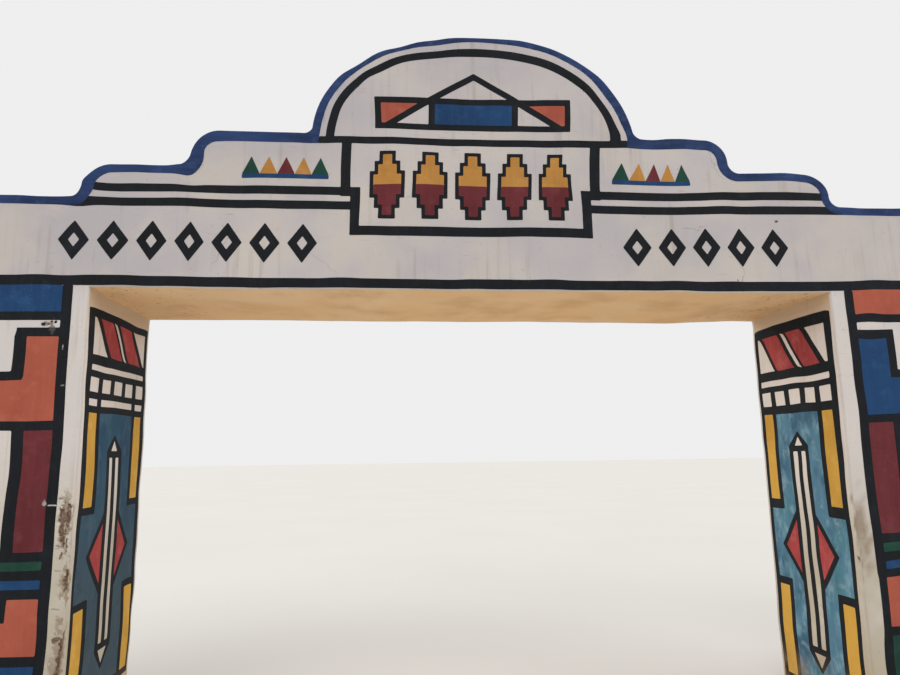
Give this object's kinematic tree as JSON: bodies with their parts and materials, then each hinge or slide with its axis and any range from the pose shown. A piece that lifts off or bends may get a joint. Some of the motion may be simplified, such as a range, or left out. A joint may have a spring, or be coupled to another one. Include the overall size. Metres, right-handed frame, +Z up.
{
  "type": "painted masonry gateway",
  "caption": "Thick plastered gateway that people and cars pass through: piers, a beam and a stepped pediment with a round gable, under a geometric mural.",
  "frame": {"origin": "on the ground, in the middle of the footprint", "axes": "+X along the gateway to the right as seen from the front, +Y through the passage from front to rear, +Z up"},
  "size_m": [7.406, 1.046, 4.585],
  "materials": {
    "brick": "fired brick laid in mortar, hidden but for the places where plaster has come off",
    "concrete": "cast concrete, hidden under plaster",
    "wall_plaster": "trowelled cement plaster, limewashed off-white",
    "soffit_plaster": "trowelled cement plaster, unwashed and stained",
    "navy_coping": "trowelled plaster cap, brushed with navy masonry paint",
    "black_paint": "brushed masonry paint, matt",
    "blue_paint": "brushed masonry paint, matt",
    "orange_paint": "brushed masonry paint, matt",
    "maroon_paint": "brushed masonry paint, matt",
    "green_paint": "brushed masonry paint, matt",
    "ochre_paint": "brushed masonry paint, matt",
    "red_paint": "brushed masonry paint, matt",
    "sky_blue_paint": "brushed masonry paint, thin and streaky",
    "yellow_paint": "brushed masonry paint, matt"
  },
  "bodies": {
    "root": {"left_pier_brickwork": "brick", "right_pier_brickwork": "brick", "lower_tier_brickwork": "brick", "upper_tier_brickwork": "brick", "gable_brickwork": "brick", "lintel_beam": "concrete", "front_left_pier_plaster": "wall_plaster", "front_right_pier_plaster": "wall_plaster", "front_beam_plaster": "wall_plaster", "front_pediment_plaster": "wall_plaster", "rear_left_pier_plaster": "wall_plaster", "rear_right_pier_plaster": "wall_plaster", "rear_beam_plaster": "wall_plaster", "rear_pediment_plaster": "wall_plaster", "left_jamb_plaster": "wall_plaster", "right_jamb_plaster": "wall_plaster", "left_end_plaster": "wall_plaster", "right_end_plaster": "wall_plaster", "soffit_plaster": "soffit_plaster", "left_base_coping": "navy_coping", "right_base_coping": "navy_coping", "lower_step_coping": "navy_coping", "upper_step_coping": "navy_coping", "gable_coping": "navy_coping", "beam_line": "black_paint", "front_pier_lines": "black_paint", "front_pediment_lines": "black_paint", "rear_pier_lines": "black_paint", "rear_pediment_lines": "black_paint", "left_jamb_lines": "black_paint", "right_jamb_lines": "black_paint", "front_blue": "blue_paint", "rear_blue": "blue_paint", "front_orange": "orange_paint", "rear_orange": "orange_paint", "front_maroon": "maroon_paint", "rear_maroon": "maroon_paint", "front_green": "green_paint", "rear_green": "green_paint", "front_ochre": "ochre_paint", "rear_ochre": "ochre_paint", "jamb_red": "red_paint", "jamb_blue": "sky_blue_paint", "jamb_yellow": "yellow_paint"}
  },
  "joints": []
}
